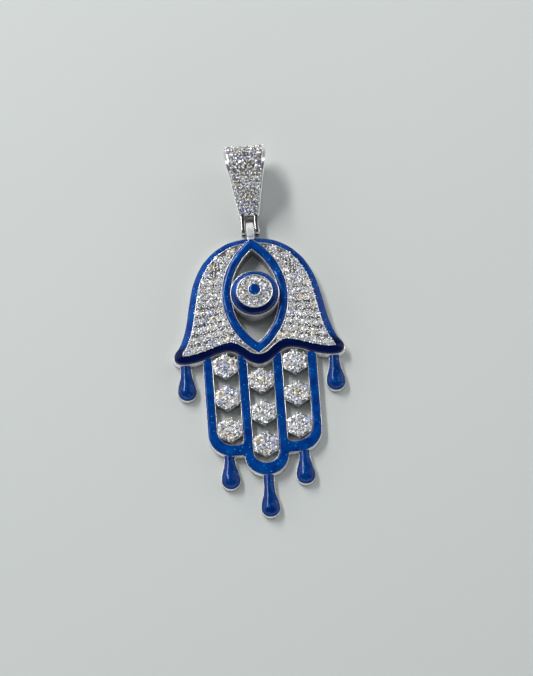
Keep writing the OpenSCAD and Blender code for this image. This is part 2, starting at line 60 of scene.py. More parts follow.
# Palm: whole width and height, and the step from its edge to the stone field
PALM_W, PALM_H, PALM_BAND = 27.1, 22.0, 1.25
PALM_LIP_Z, PALM_TOP_Z = 1.6, 2.42
# Floor of the tray that the palm's stones stand in, and the cut metal between them
TRAY_Z, BED_Z = 2.05, 2.2

# Almond: distance from the eye to the centres of its two arcs, and their inner and outer radius
ALMOND_C = 6.905
ALMOND_IN, ALMOND_OUT, ALMOND_Z = 10.66, 12.16, 2.6
# How far the palm's plate reaches in under the almond's frame
UNDER_ALMOND = 0.5

# Eye: radii of the drum, the stone disc and the pupil's post, each with its height
DRUM_R, DRUM_Z = 3.9, 3.6
IRIS_R, IRIS_Z = 2.85, 4.45
POST_R, POST_Z = 1.05, 5.1

# Fingers: distance between two fingers, width of a rail, distance of the tips below the eye,
# and width of the band round a tip
FINGER_PITCH, BAND = 5.5, 1.5
OUTER_TIP, MIDDLE_TIP = 26.89, 30.49
OUTER_TOE, MIDDLE_TOE = 1.26 * BAND, 1.42 * BAND
TIP_CORNER_R = 3.9
FINGER_Z = 1.4

# Drops: radius of the bulb, and place and length of the drops at the corners, at the outer
# fingers and at the middle finger
DROP_R = 1.525
DROP_CUP_Z = 0.95
CORNER_DROP_X, CORNER_DROP_LENGTH = 11.75, 5.9
OUTER_DROP_X, OUTER_DROP_LENGTH = 5.9, 5.45
MIDDLE_DROP_LENGTH = 7.05

# Clusters: y of the outer fingers' first one, distance to the next, and how far down the middle
# finger's are, in those distances
CLUSTER_TOP, CLUSTER_STEP, MIDDLE_SHIFT = -11.387, 5.511, 0.52

# Small stones of the palm and the bail: diameter, distance between two rows of the palm, and
# least distance of their middles from the metal beside them
PAVE_D, PAVE_STEP, PAVE_EDGE = 1.14, 1.25, 0.62

# Bail, from the side: a hinge pin, a narrow bend low down and a wide bend at the top
PIN_Y, PIN_Z = 11.832, 1.4
NOSE_Y, NOSE_R = PIN_Y + 3.25, 1.2
BEND_Y, BEND_R = NOSE_Y + 6.8, 3.55
BAIL_TOP = BEND_Y + BEND_R
BAIL_WALL = 0.65
# Half of the bail's width low down, how much wider it is at the top, and where it starts
BAIL_LOW_HALF, BAIL_FLARE, BAIL_LOW_Y = 1.4, 1.9, PIN_Y + 2.15

# Half of the palm's outline, from its top round the right side to its lowest point.
# Columns: x of the edge in half widths, y of the edge in heights, and the step to the
# edge of the stone field in x and in y, in band widths.
PALM_ROWS = [
    (0.000, 0.474, 0.00, -0.86),
    (0.148, 0.467, -0.16, -0.84),
    (0.288, 0.445, -0.32, -0.82),
    (0.421, 0.398, -0.48, -0.73),
    (0.517, 0.346, -0.60, -0.63),
    (0.620, 0.265, -0.76, -0.50),
    (0.720, 0.128, -0.84, -0.25),
    (0.786, -0.048, -0.88, -0.19),
    (0.823, -0.168, -0.88, -0.20),
    (0.871, -0.271, -0.92, -0.27),
    (0.923, -0.345, -0.92, -0.30),
    (0.978, -0.392, -1.04, -0.34),
    (1.000, -0.442, -1.14, 0.32),
    (0.963, -0.475, -0.78, 0.81),
    (0.900, -0.487, -0.24, 1.00),
    (0.819, -0.487, -0.08, 1.03),
    (0.708, -0.475, 0.12, 1.03),
    (0.605, -0.456, 0.24, 0.98),
    (0.502, -0.428, 0.20, 0.90),
    (0.391, -0.411, 0.08, 0.99),
    (0.299, -0.418, -0.10, 1.18),
    (0.214, -0.456, -0.36, 1.10),
    (0.111, -0.504, -0.20, 1.14),
    (0.000, -0.525, 0.00, 1.22),
]
# The row of the palm's corner, and the steps of the smooth curve between two rows
CORNER_ROW = 12
CURVE_STEPS = 8

# Outline of a drop. Columns: distance above the bulb's middle and half width, in bulb radii.
DROP_ROWS = [(0.00, 1.00), (0.35, 0.98), (0.70, 0.92), (1.05, 0.82), (1.40, 0.71), (1.75, 0.63),
             (2.30, 0.57)]
DROP_NECK_STEPS = 24

# Rounded lip beside enamel. Columns: inset from the metal's edge in lip widths, and height
# under the lip's top in lip widths.
LIP_ROWS = [(0.0, 0.45), (0.12, 0.14), (0.5, 0.0), (0.88, 0.14), (1.0, 0.45)]


# Curves and outlines


def lerp(a, b, t):
    """The value at share t of the way from a to b."""
    return a + (b - a) * t


def lookup(x, table):
    """The y of a table of (x, y) in rising x, at x."""
    for (x0, y0), (x1, y1) in zip(table, table[1:]):
        if x <= x1:
            return lerp(y0, y1, (x - x0) / (x1 - x0)) if x > x0 else y0
    return table[-1][1]


def spline_loop(knots, steps):
    """A smooth closed loop through the knots."""
    n = len(knots)
    loop = []
    for i in range(n):
        a, b, c, d = (knots[(i + k) % n] for k in (-1, 0, 1, 2))
        for j in range(steps):
            t = j / steps
            loop.append(0.5 * (2 * b + (c - a) * t + (2 * a - 5 * b + 4 * c - d) * t * t
                               + (3 * b - a - 3 * c + d) * t * t * t))
    return loop


def arc(centre, r, start, end, steps):
    """Points on an arc, angles in degrees."""
    turns = [math.radians(lerp(start, end, i / steps)) for i in range(steps + 1)]
    return [Vector((centre[0] + r * math.cos(a), centre[1] + r * math.sin(a))) for a in turns]


def mirror_x(points):
    """The points on the other side of the middle line, in reverse order."""
    return [Vector((-p[0], p[1])) for p in reversed(points)]


def at(points, z):
    """The 2-D points at a height."""
    return [Vector((p[0], p[1], z)) for p in points]


def both_halves(half):
    """A closed outline from its right half, whose two ends lie on the middle line."""
    return half + [Vector((-p[0], p[1])) for p in reversed(half[1:-1])]


half_edge = [Vector((r[0] * PALM_W / 2, r[1] * PALM_H)) for r in PALM_ROWS]
half_field = [p + PALM_BAND * Vector(r[2:]) for p, r in zip(half_edge, PALM_ROWS)]
edge_loop = spline_loop(both_halves(half_edge), CURVE_STEPS)
field_loop = spline_loop(both_halves(half_field), CURVE_STEPS)
corner = CORNER_ROW * CURVE_STEPS
lowest = (len(PALM_ROWS) - 1) * CURVE_STEPS


def palm_inside(s):
    """The palm's edge moved in by s, towards the stone field."""
    return [e + (f - e).normalized() * s for e, f in zip(edge_loop, field_loop)]


def field_inside(s):
    """The stone field's edge moved in by s."""
    return [f + (f - e).normalized() * s for e, f in zip(edge_loop, field_loop)]


# The right half of the hem, which is the palm's lower edge, from the middle line to the corner
field_hem = [(p.x, p.y) for p in reversed(field_loop[corner:lowest + 1])]
edge_hem = [(p.x, p.y) for p in reversed(edge_loop[corner:lowest + 1])]


def almond(r, steps=56):
    """A pointed oval of two arcs of radius r."""
    tip = math.degrees(math.acos(ALMOND_C / r))
    right = arc((-ALMOND_C, 0), r, -tip, tip, steps)[:-1]
    return right + [Vector((-p.x, -p.y)) for p in right]


# Middle lines of the rails, and where the rails and the slots start, under the palm
RAIL_IN, RAIL_OUT = FINGER_PITCH / 2, 1.5 * FINGER_PITCH
HALF_BAND = BAND / 2
FINGER_TOP, SLOT_TOP = -8.0, -8.9


def finger_outline(s):
    """The fingers' outer edge moved in by s."""
    fillet = 0.35
    side, r = RAIL_OUT + HALF_BAND, TIP_CORNER_R
    left = [Vector((-side + s, FINGER_TOP))]
    left += arc((-side + r, -OUTER_TIP + r), r - s, 180, 270, 14)
    left += arc((-RAIL_IN - HALF_BAND - fillet, -OUTER_TIP - fillet), fillet + s, 90, 0, 6)
    left += arc((0, -MIDDLE_TIP + RAIL_IN + HALF_BAND), RAIL_IN + HALF_BAND - s, 180, 270, 20)
    return left + mirror_x(left[:-1])


def finger_slot(column, s):
    """A pierced slot grown by s."""
    if column == 0:
        r = RAIL_IN - HALF_BAND
        half = arc((0, -MIDDLE_TIP + MIDDLE_TOE + r), r + s, 180, 270, 16)
        half.insert(0, Vector((-r - s, SLOT_TOP + s)))
        return half + mirror_x(half[:-1])
    x0, x1, bottom = RAIL_IN + HALF_BAND, RAIL_OUT - HALF_BAND, -OUTER_TIP + OUTER_TOE
    tight, wide = 0.75, TIP_CORNER_R * 2 / 3
    loop = [Vector((x0 - s, SLOT_TOP + s))]
    loop += arc((x0 + tight, bottom + tight), tight + s, 180, 270, 8)
    loop += arc((x1 - wide, bottom + wide), wide + s, 270, 360, 12)
    loop.append(Vector((x1 + s, SLOT_TOP + s)))
    return loop if column > 0 else mirror_x(loop)


def drop_outline(s, top):
    """A drop's edge moved in by s, round the middle of its bulb, up to a flat top."""
    half = arc((0, 0), DROP_R - s, -90, 0, 14)
    knots = [(y * DROP_R, w * DROP_R) for y, w in DROP_ROWS]
    for i in range(1, DROP_NECK_STEPS + 1):
        y = knots[-1][0] * i / DROP_NECK_STEPS
        half.append(Vector((lookup(y, knots) - s, y)))
    half.append(Vector((knots[-1][1] - s, top)))
    return half + [Vector((-p.x, p.y)) for p in reversed(half[1:])]


corner_top = lookup(CORNER_DROP_X, edge_hem)
# Drops in the order of their CAD nodes. Columns: x, y of the tip, y of the edge that it hangs from.
DROPS = [
    (-CORNER_DROP_X, corner_top - CORNER_DROP_LENGTH, corner_top),
    (CORNER_DROP_X, corner_top - CORNER_DROP_LENGTH, corner_top),
    (-OUTER_DROP_X, -OUTER_TIP - OUTER_DROP_LENGTH, -OUTER_TIP),
    (OUTER_DROP_X, -OUTER_TIP - OUTER_DROP_LENGTH, -OUTER_TIP),
    (0.0, -MIDDLE_TIP - MIDDLE_DROP_LENGTH, -MIDDLE_TIP),
]
FINGERS = (-1, 0, 1)
CLUSTERS = [(finger * FINGER_PITCH,
             CLUSTER_TOP - CLUSTER_STEP * (row + (MIDDLE_SHIFT if finger == 0 else 0)))
            for finger in FINGERS for row in range(3)]


# Mesh building


def loft(bm, loops, closed=False):
    """Walls from each loop of points to the next. Returns the first and the last loop's edges."""
    verts = [bm.verts.new(p) for p in loops[0]]
    first = edges = [bm.edges.new(pair) for pair in zip(verts, verts[1:] + verts[:1])]
    for loop in loops[1:] + (loops[:1] if closed else []):
        made = bmesh.ops.extrude_edge_only(bm, edges=edges)["geom"]
        fresh = {g for g in made if isinstance(g, bmesh.types.BMVert)}
        verts = [next(e.other_vert(v) for e in v.link_edges if e.other_vert(v) in fresh) for v in verts]
        for vert, point in zip(verts, loop):
            vert.co = point
        edges = [bm.edges.get(pair) for pair in zip(verts, verts[1:] + verts[:1])]
    return first, edges


def fill(bm, *rings):
    """A flat face within the first ring, with the others as holes."""
    edges = [edge for ring in rings for edge in ring]
    bmesh.ops.triangle_fill(bm, use_beauty=True, use_dissolve=False, edges=edges)


def turn(bm, profile, steps):
    """Turns a profile of (radius, height) points about the upright axis."""
    verts = [bm.verts.new((r, 0, z)) for r, z in profile]
    edges = [bm.edges.new(pair) for pair in zip(verts, verts[1:])]
    bmesh.ops.spin(bm, geom=verts + edges, cent=(0, 0, 0), axis=(0, 0, 1), angle=2 * math.pi,
                   steps=steps, use_merge=True)
    bmesh.ops.remove_doubles(bm, verts=bm.verts, dist=1e-5)


def lay_across(bm, y, z):
    """Turns a mesh's upright axis into the line across the pendant at y and z."""
    matrix = Matrix.Translation((0, y, z)) @ Matrix.Rotation(math.pi / 2, 4, "Y")
    bmesh.ops.transform(bm, matrix=matrix, verts=bm.verts)


def round_edges(bm, edges, r=EDGE_R):
    bmesh.ops.bevel(bm, geom=edges, offset=r, segments=EDGE_STEPS, affect="EDGES", profile=0.5,
                    material=-1)


def rounded_block(bm, middle, size):
    """A block with rounded edges."""
    made = bmesh.ops.create_cube(bm, size=1)
    matrix = Matrix.Translation(middle) @ Matrix.Diagonal((*size, 1))
    bmesh.ops.transform(bm, matrix=matrix, verts=made["verts"])
    round_edges(bm, list({edge for vert in made["verts"] for edge in vert.link_edges}))


def mesh_of(bm, name):
    """The finished shape as a mesh of its own."""
    mesh = bpy.data.meshes.new(name)
    bm.to_mesh(mesh)
    bm.free()
    return mesh


def join(target, source, matrix=Matrix.Identity(4)):
    """Adds a copy of another mesh, moved by the matrix."""
    before = len(target.verts)
    target.from_mesh(source)
    target.verts.ensure_lookup_table()
    bmesh.ops.transform(target, matrix=matrix, verts=target.verts[before:])


def place(bm, name, body, finish, replaced=(), smooth=True):
    """Finishes a mesh as a piece in the row frame."""
    bmesh.ops.remove_doubles(bm, verts=bm.verts, dist=1e-4)
    bmesh.ops.recalc_face_normals(bm, faces=bm.faces)
    for face in bm.faces:
        face.smooth = smooth
    for edge in bm.edges:
        edge.smooth = len(edge.link_faces) == 2 and edge.calc_face_angle(0) < SHARP
    bmesh.ops.transform(bm, matrix=Matrix.Scale(MM, 4) @ Matrix.Translation(EYE), verts=bm.verts)
    piece = bpy.data.objects.new(name, mesh_of(bm, name))
    bpy.context.collection.objects.link(piece)
    piece.data.materials.append(finish)
    if replaced:
        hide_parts(*replaced)
    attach(piece, body)
    return piece


def mark_tone_and_shade(piece, share):
    """Marks how far the enamel is painted towards navy, 0 to 1, by the share at each point: painted shade,
    and on the drops an even darker tone.
    """
    layer = piece.data.attributes.new("glaze_tone_and_shade", "FLOAT", "POINT")
    for vert, item in zip(piece.data.vertices, layer.data):
        item.value = min(1, max(0, share(vert.co / MM - EYE)))


# Materials


class Nodes:
    """Short ways to add nodes to a material and join them."""

    def __init__(self, owner):
        owner.use_nodes = True
        self.tree = owner.node_tree
        self.tree.nodes.clear()

    def add(self, kind, inputs=(), **settings):
        """A node with its settings. An input is a value, or another node's socket to join."""
        node = self.tree.nodes.new("ShaderNode" + kind)
        for key, value in settings.items():
            setattr(node, key, value)
        for key, value in dict(inputs).items():
            if isinstance(value, bpy.types.NodeSocket):
                self.tree.links.new(value, node.inputs[key])
            else:
                node.inputs[key].default_value = value
        return node

    def ramp(self, value, stops):
        """A colour ramp through (position, colour) stops."""
        node = self.add("ValToRGB", {"Fac": value})
        elements = node.color_ramp.elements
        while len(elements) < len(stops):
            elements.new(0.5)
        for element, (position, colour) in zip(elements, stops):
            element.position = position
            element.color = (*colour, 1)
        return node.outputs["Color"]

    def mix(self, share, first, second, **settings):
        """Two colours mixed by the share of the second."""
        return self.add("Mix", {0: share, 6: first, 7: second}, data_type="RGBA", **settings).outputs[2]


def new_material(name):
    made = bpy.data.materials.new(name)
    return made, Nodes(made)


def silver_material(name, metallic, smoothest, roughest, painted_shade_z):
    """White metal, wavy from the polishing wheel, and painted darker under the given height, as painted
    shade low down and in the openings.
    """
    made, nodes = new_material(name)
    coord = nodes.add("TexCoord").outputs["Object"]
    height = nodes.add("SeparateXYZ", {"Vector": coord}).outputs["Z"]
    # Painted shade: the colour turns dark under the given height
    low = nodes.add("MapRange", {"Value": height, "From Min": (painted_shade_z - 0.3) * MM,
                                 "From Max": (painted_shade_z + 0.3) * MM}).outputs["Result"]
    colour = nodes.ramp(low, [(0.0, (0.30, 0.30, 0.31)), (1.0, (0.90, 0.895, 0.88))])
    waves = nodes.add("TexNoise", {"Vector": coord, "Scale": 700, "Detail": 2}).outputs["Fac"]
    rough = nodes.add("MapRange", {"Value": waves, "To Min": smoothest,
                                   "To Max": roughest}).outputs["Result"]
    bump = nodes.add("Bump", {"Height": waves, "Strength": 0.25, "Distance": 0.0002}).outputs["Normal"]
    shader = nodes.add("BsdfPrincipled", {
        "Base Color": colour, "Metallic": metallic, "Roughness": rough, "Normal": bump})
    nodes.add("OutputMaterial", {"Surface": shader.outputs[0]})
    return made


def bed_material():
    """Metal between the stones: cut rough by the graver into small cells, each darkest at its middle, and
    painted far darker than the polished silver, as painted shade between the stones.
    """
    made, nodes = new_material("cut_and_shaded_silver_bed")
    coord = nodes.add("TexCoord").outputs["Object"]
    cuts = nodes.add("TexVoronoi", {"Vector": coord, "Scale": 2600}).outputs["Distance"]
    # Painted shade: far darker than the polished silver, with the graver's cells in it
    colour = nodes.ramp(cuts, [(0.1, (0.12, 0.12, 0.125)), (0.7, (0.6, 0.6, 0.62))])
    bump = nodes.add("Bump", {"Height": cuts, "Strength": 0.6, "Distance": 0.0001}).outputs["Normal"]
    shader = nodes.add("BsdfPrincipled", {
        "Base Color": colour, "Metallic": 1.0, "Roughness": 0.3, "Normal": bump})
    nodes.add("OutputMaterial", {"Surface": shader.outputs[0]})
    return made


def enamel_material():
    """Glossy blue enamel: cloudy in tone and uneven from the firing, with small light-blue spots painted
    on as highlight glints, and painted towards navy by a share marked on each piece: painted shade on its
    sides turned from the lamps, and an even darker tone on the drops.
    """
    made, nodes = new_material("blue_enamel")
    coord = nodes.add("TexCoord").outputs["Object"]
    cloud = nodes.add("TexNoise", {"Vector": coord, "Scale": 600, "Detail": 3}).outputs["Fac"]
    colour = nodes.ramp(cloud, [(0.35, (0.0004, 0.030, 0.20)), (0.65, (0.0008, 0.066, 0.33))])
    # Painted highlight: small light-blue spots stand for glints on the glaze
    spots = nodes.add("TexVoronoi", {"Vector": coord, "Scale": 1500}).outputs["Distance"]
    painted_glints = nodes.add("MapRange", {"Value": spots, "From Min": 0.1, "From Max": 0.22, "To Min": 1.0,
                                   "To Max": 0.0}).outputs["Result"]
    colour = nodes.mix(painted_glints, colour, (0.02, 0.27, 0.75, 1))
    # Painted shade: towards navy by the share marked on each piece
    navy_share = nodes.add("Attribute", attribute_name="glaze_tone_and_shade").outputs["Fac"]
    colour = nodes.mix(navy_share, colour, (0.0006, 0.006, 0.06, 1))
    ripple = nodes.add("TexNoise", {"Vector": coord, "Scale": 520, "Detail": 1}).outputs["Fac"]
    bump = nodes.add("Bump", {"Height": ripple, "Strength": 0.35, "Distance": 0.0005}).outputs["Normal"]
    shader = nodes.add("BsdfPrincipled", {
        "Base Color": colour, "Roughness": 0.5, "Metallic": 0.2, "Normal": bump, "IOR": 1.5,
        "Specular IOR Level": 0.0, "Coat Weight": 0.65, "Coat IOR": 1.36, "Coat Roughness": 0.04,
        "Coat Normal": bump})
    nodes.add("OutputMaterial", {"Surface": shader.outputs[0]})
    return made


def stone_material():
    """White cut stones: each facet is painted its own tone between shade and light, as painted reflections
    of the light that the stone sends back, coloured by painted fire, and the brightest facets glow as
    painted sparkle.
    """
    made, nodes = new_material("white_stone")
    tone = nodes.add("Attribute", attribute_name="facet_painted_light").outputs["Fac"]
    fire = nodes.add("Attribute", attribute_name="facet_fire").outputs["Fac"]
    painted_facet_greys = nodes.ramp(tone, [(0.0, (0.12, 0.12, 0.13)), (0.25, (0.45, 0.45, 0.475)),
                             (0.5, (0.88, 0.88, 0.93)), (0.8, (1.0, 1.0, 1.0))])
    # Painted sparkle: the brightest facets glow, though they are no lamp
    painted_sparkle = nodes.ramp(tone, [(0.92, (0, 0, 0)), (0.97, (1, 1, 1))])
    painted_fire_colour = nodes.ramp(fire, [(0.06, (1.0, 0.85, 0.62)), (0.17, (1, 1, 1)), (0.83, (1, 1, 1)),
                             (0.94, (0.68, 0.72, 1.0))])
    colour = nodes.mix(1.0, painted_facet_greys, painted_fire_colour, blend_type="MULTIPLY")
    shader = nodes.add("BsdfPrincipled", {
        "Base Color": colour, "Roughness": 0.04, "IOR": 2.15, "Metallic": 0.25,
        "Emission Color": painted_fire_colour, "Emission Strength": painted_sparkle})
    nodes.add("OutputMaterial", {"Surface": shader.outputs[0]})
    return made


def paper_material():
    """Pale paper with a faint fibre."""
    made, nodes = new_material("pale_paper")
    coord = nodes.add("TexCoord").outputs["Object"]
    fibre = nodes.add("TexNoise", {"Vector": coord, "Scale": 900, "Detail": 3}).outputs["Fac"]
    bump = nodes.add("Bump", {"Height": fibre, "Strength": 0.1, "Distance": 0.0001}).outputs["Normal"]
    shader = nodes.add("BsdfPrincipled", {
        "Base Color": (0.72, 0.75, 0.735, 1), "Roughness": 0.85, "Specular IOR Level": 0.2,
        "Normal": bump})
    nodes.add("OutputMaterial", {"Surface": shader.outputs[0]})
    return made


# Silver: name, how metallic it shines, least and most roughness, height that it is painted darker under,
# as painted shade
silver = silver_material("polished_silver", 1.0, 0.08, 0.22, 0.4)
lip_silver = silver_material("brushed_silver", 0.6, 0.2, 0.35, 0.4)
almond_silver = silver_material("brushed_silver_shaded_in_openings", 0.6, 0.2, 0.35, 2.2)
drum_silver = silver_material("brushed_silver_of_the_drum_shaded_low", 0.6, 0.2, 0.35, 3.4)
fork_silver = silver_material("shaded_silver", 1.0, 0.08, 0.22, 2.3)
ring_silver = silver_material("satin_silver", 0.3, 0.3, 0.45, 0.4)
cut_and_shaded_silver = bed_material()
enamel = enamel_material()
stone = stone_material()


# Casting and its enamel


def lip(edge, top, depth, width=LIP):
    """Loops up one side of a lip, over it, and down to a floor. edge(s) gives the edge moved in by s."""
    loops = [at(edge(width * s), top - width * drop) for s, drop in LIP_ROWS]
    return loops + [at(edge(width), top - depth)]


def lip_profile(r, top):
    """The rim of a turned piece, going in from radius r."""
    return [(r - RIM * s, top - RIM * drop) for s, drop in LIP_ROWS]


def build_palm():
    # The outer lip is broad, because the enamel runs over the inner part of it
    foot, floor_z, broad_lip = 0.1, 1.05, LIP + 0.1
    under = almond(ALMOND_IN + UNDER_ALMOND)
    bm = bmesh.new()
    loops = [at(palm_inside(foot), 0), at(palm_inside(0), foot)]
    loops += lip(palm_inside, PALM_LIP_Z, PALM_LIP_Z - floor_z, broad_lip)
    loops.append(at(field_inside(0), floor_z))
    loops += lip(field_inside, PALM_TOP_Z, PALM_TOP_Z - TRAY_Z, RIM)
    rings = loft(bm, loops)
    hole = loft(bm, [at(under, z) for z in (0, TRAY_Z)])
    fill(bm, rings[0], hole[0])
    fill(bm, rings[-1], hole[-1])
    place(bm, "palm_metal", "pendant", lip_silver, ["pendant_casting"])

    # Metal that is left standing between the stones
    bm = bmesh.new()
    rings = loft(bm, [at(field_inside(RIM), z) for z in (TRAY_Z, BED_Z)])
    hole = loft(bm, [at(under, z) for z in (TRAY_Z, BED_Z)])
    fill(bm, rings[-1], hole[-1])
    place(bm, "palm_bed", "pendant", cut_and_shaded_silver)


def build_palm_enamel():
    # Columns: share of the way in from the lip, and share of the rise from the lip to the field
    rows = [(0.0, 0.01), (0.03, 0.07), (0.10, 0.20), (0.22, 0.35), (0.38, 0.48), (0.56, 0.60),
            (0.76, 0.72), (0.92, 0.81), (1.0, 0.85)]
    base_z, hem_y, overlap = 1.1, -7.2, 0.02
    # The enamel covers the lip round the arch and stops inside it along the hem. It draws back
    # over the last few points before the corner.
    over_lip, inside_lip = palm_inside(0.006), palm_inside(LIP + 0.08)
    points, fade = len(edge_loop), 6
    bare = [min(1, max(0, (min(i, points - i) - corner + fade) / fade)) for i in range(points)]
    outer = [lerp(a, b, t) for a, b, t in zip(over_lip, inside_lip, bare)]
    inner = field_inside(overlap)
    rise = PALM_TOP_Z - PALM_LIP_Z
    loops = [at(outer, base_z)]
    for t, height in rows:
        loops.append(at([lerp(o, i, t) for o, i in zip(outer, inner)], PALM_LIP_Z + height * rise))
    loops.append(at(inner, base_z))
    bm = bmesh.new()
    loft(bm, loops, closed=True)
    piece = place(bm, "palm_enamel_band", "pendant", enamel, ["palm_enamel"])
    # Painted shade along the hem, the band's side turned from the lamps
    mark_tone_and_shade(piece, lambda p: hem_y - p.y)


def build_almond():
    channel = 0.35
    loops = [at(almond(ALMOND_IN), 0.0)]
    loops += lip(lambda s: almond(ALMOND_IN + s), ALMOND_Z, channel)
    loops += reversed(lip(lambda s: almond(ALMOND_OUT - s), ALMOND_Z, channel))
    loops.append(at(almond(ALMOND_OUT), 0.0))
    bm = bmesh.new()
    loft(bm, loops, closed=True)
    return place(bm, "almond_metal", "pendant", almond_silver, ["pendant_casting"])


def build_almond_enamel():
    overlap, steps = 0.01, 10
    base_z, edge_z, dome = ALMOND_Z - 0.3, ALMOND_Z - 0.04, 0.2
    r0, r1 = ALMOND_IN + LIP - overlap, ALMOND_OUT - LIP + overlap
    loops = [at(almond(r0), base_z)]
    for i in range(steps + 1):
        t = i / steps
        loops.append(at(almond(lerp(r0, r1, t)), edge_z + dome * math.sin(math.pi * t) ** 0.7))
    loops.append(at(almond(r1), base_z))
    bm = bmesh.new()
    loft(bm, loops, closed=True)
    piece = place(bm, "almond_enamel_band", "pendant", enamel, ["almond_enamel"])
    # Painted shade towards its two edges, which lie lower
    mark_tone_and_shade(piece, lambda p: 4.5 * (ALMOND_Z + 0.1 - p.z))


def build_eye():
    """Drum with its lip, a tray for the stones and the pupil's post, turned in one profile."""
    under_z, foot = 1.3, 0.08
    ring_floor_z, tray_floor_z, pupil_floor_z = 3.2, 4.1, 4.75
    profile = [(0, under_z), (DRUM_R - foot, under_z), (DRUM_R, under_z + foot)]
    profile += lip_profile(DRUM_R, DRUM_Z)
    profile += [(DRUM_R - RIM, ring_floor_z), (IRIS_R, ring_floor_z)]
    profile += lip_profile(IRIS_R, IRIS_Z)
    profile += [(IRIS_R - RIM, tray_floor_z), (POST_R, tray_floor_z)]
    profile += lip_profile(POST_R, POST_Z)
    profile += [(POST_R - RIM, pupil_floor_z), (0, pupil_floor_z)]
    bm = bmesh.new()
    turn(bm, profile, 96)
    place(bm, "eye_metal", "pendant", drum_silver, ["pendant_casting"])


def build_eye_enamel():
    """The ring that climbs from the drum's lip to the stones, and the pupil's dome."""
    overlap = 0.02
    # Columns: share of the way in, and share of the rise
    rows = [(0, -0.3), (0, -0.02), (0.08, 0.14), (0.25, 0.38), (0.45, 0.57), (0.7, 0.72),
            (0.9, 0.79), (1, 0.8), (1, -0.3)]
    r0, r1, rise = IRIS_R - overlap, DRUM_R - RIM + overlap, IRIS_Z - DRUM_Z
    profile = [(lerp(r1, r0, t), DRUM_Z + h * rise) for t, h in rows]
    bm = bmesh.new()
    turn(bm, profile + profile[:1], 96)
    piece = place(bm, "eye_ring_band", "pendant", enamel, ["eye_ring_enamel"])
    # Painted shade towards the fingers, the side turned from the lamps
    mark_tone_and_shade(piece, lambda p: 0.3 - p.y / DRUM_R)

    r, base_z, edge_z, dome, steps = POST_R - RIM + overlap, POST_Z - 0.3, POST_Z - 0.04, 0.26, 8
    profile = [(0, base_z), (r, base_z)]
    for i in range(steps):
        a = math.radians(90 * i / steps)
        profile.append((r * math.cos(a), edge_z + dome * math.sin(a)))
    profile.append((0, edge_z + dome))
    bm = bmesh.new()
    turn(bm, profile, 48)
    place(bm, "pupil_dome", "pendant", enamel, ["pupil_enamel"])


def build_fingers():
    # Columns: inset from the metal's edge, height
    metal = [(0.06, 0.0), (0.0, 0.06)]
    metal += [(LIP * s, FINGER_Z - LIP * drop) for s, drop in LIP_ROWS] + [(LIP, 1.05)]
    glaze = [(0.055, 1.1), (0.055, 1.385), (0.08, 1.45), (0.12, 1.51), (0.18, 1.555), (0.27, 1.58),
             (0.39, 1.592), (0.52, 1.597), (0.63, 1.6)]
    full_light_z = 1.575
    for name, rows, slot, finish, node in (
            ("finger_metal", metal, "silver", lip_silver, "pendant_casting"),
            ("finger_enamel_rails", glaze, "enamel", enamel, "finger_enamel")):
        bm = bmesh.new()
        sides = [loft(bm, [at(finger_outline(s), z) for s, z in rows])]
        sides += [loft(bm, [at(finger_slot(c, s), z) for s, z in rows]) for c in FINGERS]
        fill(bm, *[side[0] for side in sides])
        fill(bm, *[side[-1] for side in sides])
        piece = place(bm, name, "pendant", finish, [node])
        if finish is enamel:
            # Painted shade towards its edges, which lie lower
            mark_tone_and_shade(piece, lambda p: 3.2 * (full_light_z - p.z))


def add_drop_cup(cups, x, middle, top):
    """A cup with its lip, which runs on under the edge that it hangs from."""
    foot, floor_z, tuck = 0.05, 0.65, 0.4
    reach = top - middle + tuck
    loops = [at(drop_outline(foot, reach), 0), at(drop_outline(0, reach), foot)]
    loops += lip(lambda s: drop_outline(s, reach), DROP_CUP_Z, DROP_CUP_Z - floor_z)
    bm = bmesh.new()
    rings = loft(bm, loops)
    fill(bm, rings[0])
    fill(bm, rings[-1])
    join(cups, mesh_of(bm, "drop_cup"), Matrix.Translation((x, middle, 0)))


def build_drop_enamel(number, x, middle, top):
    """A turned drop, flattened and cut off inside its cup."""
    # The corner drops end at the hem, and the others run up into the fingers' enamel
    reach = 0.3 if number > 2 else -0.02
    inset, flatness, sunk, cut_z, depth = 0.1, 0.72, 0.05, 0.7, 0.35
    outline = drop_outline(inset, top - middle + reach)
    half = outline[:(len(outline) + 1) // 2]
    bm = bmesh.new()
    turn(bm, [(p.x, p.y) for p in half] + [(0, half[-1].y)], 40)
    lie_down = Matrix.Diagonal((1, 1, flatness, 1)) @ Matrix.Rotation(-math.pi / 2, 4, "X")
    bmesh.ops.transform(bm, matrix=Matrix.Translation((x, middle, DROP_CUP_Z - sunk)) @ lie_down,
                        verts=bm.verts)
    cut = bmesh.ops.bisect_plane(bm, geom=bm.verts[:] + bm.edges[:] + bm.faces[:],
                                 plane_co=(0, 0, cut_z), plane_no=(0, 0, -1), clear_outer=True)
    hole = [g for g in cut["geom_cut"] if isinstance(g, bmesh.types.BMEdge)]
    bmesh.ops.holes_fill(bm, edges=hole)
    name, node = "drop_glaze_%d" % number, "drop_enamel_%d" % number
    piece = place(bm, name, "pendant", enamel, [node])
    # The whole drop is painted an even share of the way to navy
    mark_tone_and_shade(piece, lambda p: depth)


def build_drops():
    cups = bmesh.new()
    for number, (x, tip, top) in enumerate(DROPS, 1):
        middle = tip + DROP_R
        add_drop_cup(cups, x, middle, top)
        build_drop_enamel(number, x, middle, top)
    place(cups, "drop_cups", "pendant", lip_silver, ["pendant_casting"])


